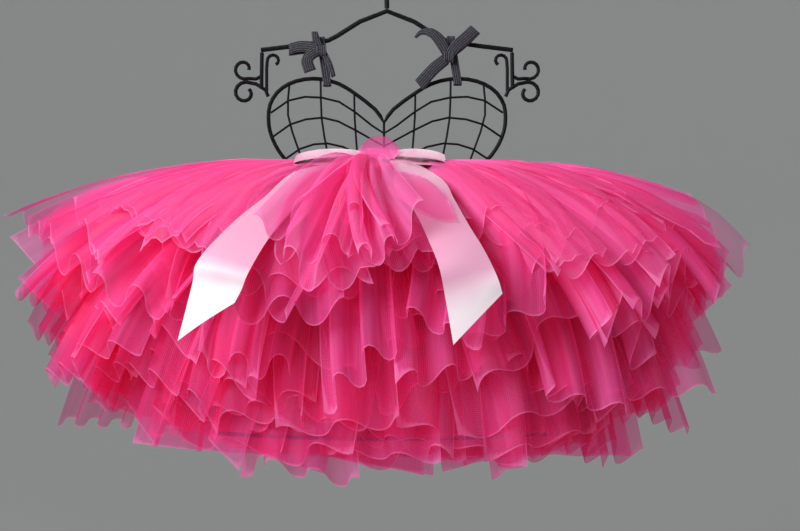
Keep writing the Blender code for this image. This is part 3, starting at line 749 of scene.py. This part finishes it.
for name, cells, node_name in (
    ("tulle_loop_standing", standing_loop(), "tulle_loop_upper"),
    ("tulle_loop_draped", draped_loop(), "tulle_loop_falling"),
):
    sheet_piece(name, [cells], OUTER_TULLE, [node_name],
                widths=mean_widths([cells]))


# ---- cloth that lies over cloth
EDGE_SLOPE = 1.6  # how fast a cover's hold lessens past its edge
EDGE_ROOM = 4.0


class Cover:
    """Cloth that keeps other cloth behind or before it, where the two are near from the front."""

    def __init__(self, sheets):
        self.points = [cell.point for cells in sheets for row in cells for cell in row]
        self.tree = tree_of([(point.x, 0, point.z) for point in self.points])

    def press_behind(self, point, clearance, reach):
        _, number, away = self.tree.find((point.x, 0, point.z))
        if away <= reach:
            lessened = EDGE_SLOPE * max(0.0, away - EDGE_ROOM)
            point.y = max(point.y, self.points[number].y + clearance - lessened)

    def keep_before(self, point, clearance, reach):
        near = self.tree.find_range((point.x, 0, point.z), reach)
        if near:
            foremost = min(self.points[number].y for _, number, _ in near)
            point.y = min(point.y, foremost - clearance)


satin_cover = Cover(tails)

# Folded ends of the outermost strips: over the left tail, in the middle and over the right tail.
Veil = namedtuple("Veil", "crown stations")
VEILS = [
    Veil(4.0, [
        Station(-12.5, 0.21, -9.5, 0.26), Station(-24, 0.16, -11.5, 0.38),
        Station(-20, 0.43, -12, 0.56), Station(-17.5, 0.69, -12, 0.75),
        Station(-15.5, 0.91, -12.5, 0.92), Station(-14, 0.98, -13.5, 0.97),
    ]),
    Veil(6.0, [
        Station(-4.5, 0.56, -2, 0.56), Station(-6.5, 0.64, 1, 0.65), Station(-6, 0.82, 1.5, 0.78),
        Station(-5, 0.94, -1.5, 0.83),
    ]),
    Veil(2.5, [
        Station(-4, 0.26, 0.5, 0.18), Station(1, 0.48, 9.5, 0.30), Station(5, 0.62, 12, 0.50),
        Station(8.5, 0.70, 12, 0.66), Station(10, 0.72, 12, 0.72),
    ]),
]
VEIL_COLUMNS = 14
VEIL_SINK = 5.0  # how far inside the ribbons' rest a veil lies where no ribbon is under it
RIPPLE = 0.5
RIPPLES_ACROSS = 13
RIPPLES_ALONG = 5
NARROW_POWER = 0.7  # how much denser a veil looks where it is narrow
END_GATHER = 0.6
OPENS = 2.2  # how soon a veil opens out of its gathers
ROOT_CROWN = 0.15
END_FADE = 0.3
FOLDED_BACK = 0.24  # share of a veil's width that is doubled along each side
DOUBLED = 1.9  # how much more light the doubled part stops
VEIL_END = 0.45  # how much of its cover a veil keeps at its cut end
VEIL_DENSEST = 0.8


def veil_cells(veil):
    """A curved sheer sheet between its two edges, denser where narrow and folded back."""
    lefts = [drape(math.radians(s.left_turn), s.left_share, -VEIL_SINK) for s in veil.stations]
    rights = [drape(math.radians(s.right_turn), s.right_share, -VEIL_SINK) for s in veil.stations]
    lefts, rights = smooth(lefts, spans=7), smooth(rights, spans=7)
    widest = max((b - a).length for a, b in zip(lefts, rights))
    rows, covers = [], []
    for number, (left, right) in enumerate(zip(lefts, rights)):
        share = number / (len(lefts) - 1)
        narrowed = (widest / (right - left).length) ** NARROW_POWER
        gathered = blend(narrowed, END_GATHER, ease(share * OPENS))
        crowned = math.sin(math.pi * min(share + ROOT_CROWN, 1.0))
        kept = blend(1.0, VEIL_END, ease(share * (1 + END_FADE) - END_FADE))
        row, line = [], []
        for column in range(VEIL_COLUMNS + 1):
            u = column / VEIL_COLUMNS
            out = veil.crown * math.sin(math.pi * u) * crowned
            out += RIPPLE * math.sin(RIPPLES_ACROSS * u + RIPPLES_ALONG * share)
            point = left.lerp(right, u) - Vector((0, out, 0))
            satin_cover.keep_before(point, clearance=1.8, reach=4.5)
            row.append(point)
            doubled = ease(1 - min(u, 1 - u) / FOLDED_BACK)
            stops = 1 - (1 - SHEET_COVER) ** (gathered * (1 + DOUBLED * doubled))
            line.append(stops * kept)
        rows.append(row)
        covers.append(line)
    return [
        [cell._replace(cover=min(cover, VEIL_DENSEST)) for cell, cover in zip(row, line)]
        for row, line in zip(cloth_cells(rows), covers)
    ]


veil_sheets = [veil_cells(veil) for veil in VEILS]
veil_cover = Cover(veil_sheets)


# ---- tulle strips
SKIRT_HALF = 370.0
CEILING_DEGREES = 3
CEILING_STEPS = 40  # from waist to hem
PAST_HEM = 6
CEILING_BACK = -3.0  # the ceiling is read no further back than this
CEILING_SLACK = 5.0
SIDE_SLACK = 2.4  # how much more slack there is at the skirt's sides
PRESSED = 0.1  # share of a rise past the ceiling that is left


class Ceiling:
    """The outermost tier's own height over each place, which no strip rises far above."""

    def __init__(self):
        self.points = [
            tier_point(0, math.radians(turn), step / CEILING_STEPS)
            for turn in range(-90, 91, CEILING_DEGREES)
            for step in range(CEILING_STEPS + PAST_HEM)
        ]
        self.tree = tree_of([(point.x, point.y, 0) for point in self.points])

    def press(self, point):
        _, number, _ = self.tree.find((point.x, min(point.y, CEILING_BACK), 0))
        slack = CEILING_SLACK * (1 + SIDE_SLACK * (abs(point.x) / SKIRT_HALF) ** 3)
        limit = self.points[number].z + slack
        if point.z > limit:
            point.z = limit + PRESSED * (point.z - limit)


ceiling = Ceiling()

# bend, waves, phase, drift and fine shape a strip's pleats, and tilt stands it out of its tier.
# skew, facing and sway shape its cut end, curl lifts it and thin lets more light through there.
Strip = namedtuple(
    "Strip",
    "level turn width reach bend waves phase drift skew sway fine tilt curl facing thin",
    defaults=(0.0, 0.0, 0.0, 0.0),
)
ROW_POWER = 1.15  # rows are a little closer together near the knot
FINE_WAVES = 5  # small creases across a strip near its knot
FINE_BEND = 1.1
OPENING = 3.4  # how soon a strip fans out from its knot
GATHER_POWER = 0.8
TILT_POWER = 0.7
STEEPEST = 0.3
RIM = 0.6  # how much denser a fold looks where its cloth runs out of the tier

FRONT_END = 1.25  # turns between which a strip passes from before the wire form to behind it
BACK_START = 1.75
BEFORE_FORM = -7.0
BEHIND_FORM = 8.0
WALL_NEAR = 9.0  # where the wall starts to flatten the back


def section(strip, share):
    """Offsets across and out of one row's points, and how flat the cloth lies there."""
    step = strip.width / STRIP_COLUMNS
    fine = FINE_BEND * (1 - share) ** 2
    drift = strip.drift * share
    x = y = 0.0
    line = [(x, y)]
    level = []
    for column in range(STRIP_COLUMNS):
        u = (column + 0.5) / STRIP_COLUMNS
        angle = strip.bend * math.sin(2 * math.pi * strip.waves * u + strip.phase + drift)
        level.append(abs(math.cos(angle)))
        angle += fine * math.sin(2 * math.pi * FINE_WAVES * u + strip.fine)
        x += step * math.cos(angle)
        y += step * math.sin(angle)
        line.append((x, y))
    middle_x = sum(p[0] for p in line) / len(line)
    middle_y = sum(p[1] for p in line) / len(line)
    flat = [(a + b) / 2 for a, b in zip([level[0], *level], [*level, level[-1]])]
    return [(a - middle_x, b - middle_y, c) for (a, b), c in zip(line, flat)]


def settle(point, turn):
    """Keeps a point off the wire form and the wall, under the top tier and behind the bow."""
    ceiling.press(point)
    if abs(turn) < FRONT_END:
        point.y = min(point.y, BEFORE_FORM)
        satin_cover.press_behind(point, clearance=7.0, reach=26.0)
        veil_cover.press_behind(point, clearance=1.5, reach=8.0)
    elif abs(turn) > BACK_START:
        point.y = max(point.y, BEHIND_FORM)
    room = WALL_Y - WALL_NEAR
    if point.y > WALL_NEAR:
        point.y = WALL_NEAR + room * math.tanh((point.y - WALL_NEAR) / room)


def strip_cells(strip, lift=None):
    """Rows of cells of one strip, knot to cut end, on its tier or lifted over the bow's tails."""
    cells = []
    length = 0.0
    last = None
    for number in range(STRIP_ROWS):
        share = (number / (STRIP_ROWS - 1)) ** ROW_POWER
        opened = KNOT_SHARE + (1 - KNOT_SHARE) * (1 - (1 - share) ** OPENING)
        gathered = 1 / opened**GATHER_POWER
        turn = wrapped(strip.turn + strip.sway * share * share)
        line = section(strip, share)
        if lift is None:
            on = share * strip.reach
            place, down, across, out = strip_frame(strip.level, turn, on)
        else:
            on = blend(PAST_BOW, strip.reach, share)
            _, down, across, out = strip_frame(strip.level, turn, min(on, OVER_FRAME_END))
            place = drape(turn, on, lift)
            inmost = min(y for _, y, _ in line)
            line = [(x, y - inmost, flat) for x, y, flat in line]
        if last:
            length += (place - last).length
        last = place
        tilt = strip.tilt * share**TILT_POWER
        sideways = across * math.cos(tilt) + out * math.sin(tilt)
        outwards = out * math.cos(tilt) - across * math.sin(tilt)
        row = []
        for column, (x, y, flat) in enumerate(line):
            u = 2 * column / STRIP_COLUMNS - 1
            point = place + opened * (x * sideways + y * outwards)
            point += down * (strip.skew * u * share * strip.width / 2)
            point -= down * (strip.facing * y * share * share)
            point += out * (strip.curl * share**3)
            cover = 1 - (1 - SHEET_COVER) ** (gathered / max(flat, STEEPEST) ** RIM)
            cover *= 1 - strip.thin * share * share
            if lift is None:
                settle(point, strip.turn)
            row.append(Cell(point, (u + 1) / 2 * strip.width, length, cover))
        cells.append(row)
    return cells


# How strips vary: where the manner changes, in turns and levels, and ranges that are drawn from.
TO_SIDE = Step(0.9, 0.7)
FROM_TOP = Step(0.0, 0.9)
TO_MIDDLE = Step(0.0, 0.8)
FROM_MIDDLE = Step(2.8, 1.2)
TO_LOW = Step(2.6, 1.6)
LEVEL_SPREAD = 0.5
DEEPEST_LEVEL = 5.1
FRONT_SPREAD = 0.09
BACK_SPREAD = 0.06
RAGGED_REACH = (0.70, 1.03)
EVEN_REACH = (0.88, 1.0)
DEEP_BEND = (1.0, 1.85)
LOW_BEND = (0.7, 1.25)
TOP_BEND = (0.6, 1.0)
WAVES = (1.6, 2.6)
SIDE_WAVES = 0.9
DRIFT = 1.2
FRONT_TILT = 0.9
SIDE_TILT = (0.3, 1.1)
SKEW = 0.42
CURL = (-9, 6)
SIDE_CURL = 11
SWAY = 0.14
FACING = (0.35, 0.95)
STEADY = 0.5  # how much less low strips tilt, and strips at the sides sway
SIDE_EVEN = 0.6  # how much less strips at the sides skew
LOW_THIN = 0.32
SIDE_THIN = 0.8
LEFT_FULLER = 0.08  # how far the middle levels' strips reach past their tiers at each side
RIGHT_FULLER = 0.05


def either_way(most):
    return jitter(-most, most)


def any_phase():
    return jitter(0, 2 * math.pi)


def near_level(order):
    return min(max(order + either_way(LEVEL_SPREAD), 0.0), DEEPEST_LEVEL)


def front_strip(order, number):
    """A strip of the front or the sides, deeply pleated and ragged."""
    turn = FRONT_TURN * (2 * (number + 0.5) / FRONT_STRIPS - 1) + either_way(FRONT_SPREAD)
    level = near_level(order)
    side = passed(TO_SIDE, abs(turn))
    on_top = 1 - passed(FROM_TOP, level)
    low = passed(TO_LOW, level)
    middle = passed(TO_MIDDLE, level) * (1 - passed(FROM_MIDDLE, level))
    fuller = 1 + (RIGHT_FULLER if turn > 0 else LEFT_FULLER) * middle * side
    tilt = either_way(FRONT_TILT) * (1 - side)
    tilt += side * dice.choice((-1, 1)) * jitter(*SIDE_TILT)
    return Strip(
        level=level,
        turn=turn,
        width=STRIP_WIDTH,
        reach=blend(jitter(*RAGGED_REACH), jitter(*EVEN_REACH), max(low, side)) * fuller,
        bend=blend(blend(jitter(*DEEP_BEND), jitter(*LOW_BEND), low), jitter(*TOP_BEND), on_top),
        waves=jitter(*WAVES) + SIDE_WAVES * side,
        phase=any_phase(),
        drift=either_way(DRIFT),
        tilt=tilt * (1 - on_top) * (1 - STEADY * low),
        skew=either_way(SKEW) * (1 - SIDE_EVEN * side),
        curl=jitter(*CURL) + side * on_top * jitter(0, SIDE_CURL),
        sway=either_way(SWAY) * (1 - STEADY * side),
        facing=jitter(*FACING),
        thin=blend(LOW_THIN * low, SIDE_THIN, side),
        fine=any_phase(),
    )


def back_strip(order, number):
    """A strip of the back, with shallow pleats."""
    span = math.pi - FRONT_TURN
    place = 2 * (number + 0.5) / BACK_STRIPS - 1
    turn = wrapped(math.pi + span * place + either_way(BACK_SPREAD))
    return Strip(
        level=near_level(order),
        turn=turn,
        width=STRIP_WIDTH,
        reach=jitter(0.9, 1.02),
        bend=jitter(0.3, 0.55),
        waves=jitter(2.0, 3.0),
        phase=any_phase(),
        drift=either_way(1),
        skew=either_way(0.2),
        sway=either_way(0.06),
        fine=any_phase(),
    )


# Strips of the outermost layer that fall over the bow, between its tails and beside them.
OVER = Strip(level=0, turn=0, width=STRIP_WIDTH / 2, reach=0.9, bend=1.6, waves=1.3, phase=0.0,
             drift=0.6, skew=0.1, sway=0.0, fine=1.0, facing=0.6)
PAST_BOW = 0.15  # where they come out from under the bow's loops
OVER_FRAME_END = 0.9  # past there they keep the tier's direction
BOW_TURN = -7.0
BOW_SPREAD = 0.3  # share of its turn that a strip already has beside the knot


def over(turn, lift, **changes):
    """A strip that comes out beside the knot and ends at that turn."""
    start = blend(BOW_TURN, turn, BOW_SPREAD)
    changes["sway"] = math.radians(turn - start)
    return lift, OVER._replace(turn=math.radians(start), **changes)


OVER_BOW = [
    over(-15.0, 3.0, reach=0.88, phase=2.6, skew=-0.35, waves=1.0, bend=1.5),
    over(-11.0, 3.5, reach=1.06, phase=0.8, skew=0.3, waves=1.1),
    over(-8.0, 3.0, reach=0.98, phase=3.7, skew=-0.2, bend=1.4),
    over(-4.0, 4.5, reach=0.86, phase=5.4, bend=1.8, waves=1.1, skew=0.4),
    over(-0.8, 3.0, reach=1.0, phase=1.3, bend=1.7, waves=1.4, skew=-0.15),
    over(2.6, 3.6, phase=2.2, waves=1.1, skew=-0.35),
]
over_sheets = [strip_cells(strip, lift) for lift, strip in OVER_BOW] + veil_sheets
sheet_piece("tulle_over_bow", over_sheets, OUTER_TULLE, [],
            widths=[OVER.width] * len(OVER_BOW) + mean_widths(veil_sheets))

for order in range(len(TIERS)):
    strips = [front_strip(order, number) for number in range(FRONT_STRIPS)]
    strips += [back_strip(order, number) for number in range(BACK_STRIPS)]
    sheets = [strip_cells(strip) for strip in strips]
    net = TULLE if order else OUTER_TULLE
    sheet_piece(f"tulle_strips_{order + 1}", sheets, net, [f"tulle_tier_{order + 1}"],
                widths=[STRIP_WIDTH] * len(sheets))


# ---- the waistband and its knots
BAND_RIBS = 9
BAND_ROWS = 27
BAND_COLUMNS = 160
BAND_INSIDE = -0.6  # where the band's surface lies between its ribs
RIB_HEIGHT = 0.7
RIB_POWER = 0.7


def elastic_band():
    """A band of knitted elastic round the waist, with ribs that stand out a little."""
    rows = []
    for step in range(BAND_ROWS + 1):
        down = step / BAND_ROWS
        rib = abs(math.sin(math.pi * BAND_RIBS * down)) ** RIB_POWER
        out = BAND_INSIDE + RIB_HEIGHT * rib
        row = []
        for place in range(BAND_COLUMNS + 1):
            turn = wrapped(2 * math.pi * place / BAND_COLUMNS)
            row.append(Vector((*waist_ring(out, turn), WAIST_Z - BAND_HEIGHT * down)))
        rows.append(row)
    return cloth_cells(rows)


sheet_piece("elastic_band", [elastic_band()], ELASTIC, ["waistband"],
            wall=1.2)

KNOTS = 84
Roll = namedtuple("Roll", "out up")
KNOT_PROFILE = [
    Roll(1.6, -10.0), Roll(3.0, -7.5), Roll(3.6, -4.0), Roll(2.9, -0.6), Roll(1.0, 1.5),
    Roll(-1.2, 1.3), Roll(-2.4, -0.6), Roll(-2.6, -3.5),
]
COLLAR_HALF = (0.85, 1.05)
COLLAR_SIZE = (0.85, 1.15)
COLLAR_COVER = 0.8
SWELL = 0.75  # how much flatter a collar is at its sides
PUCKER = 0.14
PUCKERS = 9
COLLAR_NECK = 0.8  # how wide it is on the band's edge, and how it widens for each millimetre
COLLAR_FLARE = 0.04


def collar(number):
    """Where one folded strip loops over the band: a soft gathered roll across its top edge."""
    rows = []
    middle = 2 * math.pi * (number + 0.5) / KNOTS
    half = math.pi / KNOTS * jitter(*COLLAR_HALF)
    size = jitter(*COLLAR_SIZE)
    for roll in KNOT_PROFILE:
        row = []
        for u in across_sheet(columns=8):
            swell = (1 - SWELL * u * u) * (1 + PUCKER * math.sin(PUCKERS * u + number))
            turn = wrapped(middle + half * u * (COLLAR_NECK + COLLAR_FLARE * abs(roll.up)))
            row.append(Vector((*waist_ring(roll.out * size * swell, turn),
                               WAIST_Z + roll.up * size)))
        rows.append(row)
    return cloth_cells(rows, COLLAR_COVER)


collars = [collar(number) for number in range(KNOTS)]
sheet_piece("tulle_knots", collars, TULLE, [],
            widths=mean_widths(collars))


# ---- ribbons on the form
TIE_CROWN = 0.6
STRAP_DIP = 0.3


def strap(top, bottom):
    """A narrow ribbon passed round the shoulder bar and the rim of the form."""
    path = [Vector((top.x, STRAP_DEPTH * y, top.z + z)) for y, z in ROUND_BAR]
    path += [Vector((bottom.x, -STRAP_DEPTH * y, bottom.z - z)) for y, z in ROUND_BAR]
    path.append(path[0].copy())
    places = across_sheet(columns=6)
    across = [Vector((STRAP_WIDTH / 2 * u, 0, STRAP_DIP * abs(u))) for u in places]
    return cloth_cells([[point + aside for aside in across] for point in smooth(path, spans=4)])


def tie(centre, pieces):
    """The loop and loose ends of a small bow, and the turn of ribbon that knots them."""
    sheets = []
    for ties in pieces.values():
        columns = [
            [
                Vector((t.x + u * t.half_x, t.y - TIE_CROWN * (1 - u * u), t.z + u * t.half_z))
                for t in ties
            ]
            for u in across_sheet(columns=8)
        ]
        sheets.append(lofted(columns, spans=5))
    knot = band_round(centre, length=9.5, radii=(3.4, 6.4), pleats=2.5, columns=10, around=24)
    return [*sheets, knot]


Ribbon = namedtuple("Ribbon", "side top bottom knot ties")
RIBBONS = [
    Ribbon("left", Vector((-66, 0, -106.8)), Vector((-60, 0, -147)),
           Vector((-65.3, -7.3, -116.6)), LEFT_TIES),
    Ribbon("right", Vector((64, 0, -106)), Vector((70.4, 0, -146)),
           Vector((61.3, -7.3, -122.6)), RIGHT_TIES),
]
for ribbon in RIBBONS:
    sheets = [strap(ribbon.top, ribbon.bottom), *tie(ribbon.knot, ribbon.ties)]
    sheet_piece(f"ribbon_{ribbon.side}", sheets, GROSGRAIN,
                [f"strap_{ribbon.side}", f"strap_tie_{ribbon.side}"],
                wall=0.5)

# ---- carried-over nodes
for part in frame["record"]["subparts"]:
    if part["material_slot"] == "black_iron":
        for held in frame["nodes"][part["node"]].material_slots:
            held.material = IRON

# ---- stage
STAGE_RADIUS = 4.0
SWEEP = 1.5
SWEEP_STEPS = 8
FLOOR_Z = -1.6
STAGE_TOP = 2.5
STAGE_SEGMENTS = 64
STAGE_GREY = (0.42, 0.43, 0.43, 1)
VIEW_CENTRE = Vector((0.013, 0.0, -0.3305))
VIEW_DISTANCE = 1.5
VIEW_WIDTH = 0.8
Lamp = namedtuple("Lamp", "name place size power")
LAMPS = [
    Lamp("window", Vector((-1.4, -1.8, 0.75)), 1.4, 102),
    Lamp("bounce", Vector((1.6, -1.9, -0.2)), 1.8, 4),
    Lamp("back", Vector((0.3, 2.0, 0.9)), 1.8, 22),
]
SKY_STRENGTH = 0.44


def stage():
    """A pale round studio: a floor that sweeps up into walls all round."""
    profile = [(0.0, FLOOR_Z)]
    for step in range(SWEEP_STEPS + 1):
        turn = math.pi / 2 * step / SWEEP_STEPS
        profile.append((STAGE_RADIUS - SWEEP * (1 - math.sin(turn)),
                        FLOOR_Z + SWEEP * (1 - math.cos(turn))))
    profile.append((STAGE_RADIUS, STAGE_TOP))
    verts, faces = [], []
    for ring, (radius, z) in enumerate(profile):
        for segment in range(STAGE_SEGMENTS):
            turn = 2 * math.pi * segment / STAGE_SEGMENTS
            verts.append((radius * math.cos(turn), radius * math.sin(turn), z))
            if ring:
                a = (ring - 1) * STAGE_SEGMENTS + segment
                b = (ring - 1) * STAGE_SEGMENTS + (segment + 1) % STAGE_SEGMENTS
                faces.append((a, b, b + STAGE_SEGMENTS, a + STAGE_SEGMENTS))
    mesh = bpy.data.meshes.new("studio")
    mesh.from_pydata(verts, [], faces)
    mesh.shade_smooth()
    made, tree, shader = new_material("studio_paper")
    feed(tree, shader, {"Base Color": STAGE_GREY, "Roughness": 0.9})
    mesh.materials.append(made)
    add_object("studio", mesh)


stage()
for lamp in LAMPS:
    light = bpy.data.lights.new(lamp.name, "AREA")
    light.shape = "DISK"
    light.size = lamp.size
    light.energy = lamp.power
    made = add_object(lamp.name, light)
    made.location = lamp.place
    made.rotation_euler = (VIEW_CENTRE - lamp.place).to_track_quat("-Z", "Y").to_euler()

world = bpy.data.worlds.new("soft_sky")
world.use_nodes = True
sky = world.node_tree.nodes["Background"]
feed(world.node_tree, sky, {"Color": (1, 1, 1, 1), "Strength": SKY_STRENGTH})
scene.world = world
scene.view_settings.view_transform = "Standard"
scene.cycles.transparent_max_bounces = 12
scene.cycles.max_bounces = 10
scene.cycles.diffuse_bounces = 8
scene.cycles.transmission_bounces = 4

camera_data = bpy.data.cameras.new("camera")
camera_data.sensor_width = 36.0
camera_data.lens = camera_data.sensor_width * VIEW_DISTANCE / VIEW_WIDTH
scene.camera = add_object("camera", camera_data)
scene.camera.location = VIEW_CENTRE - Vector((0, VIEW_DISTANCE, 0))
scene.camera.rotation_euler = (math.radians(90), 0, 0)
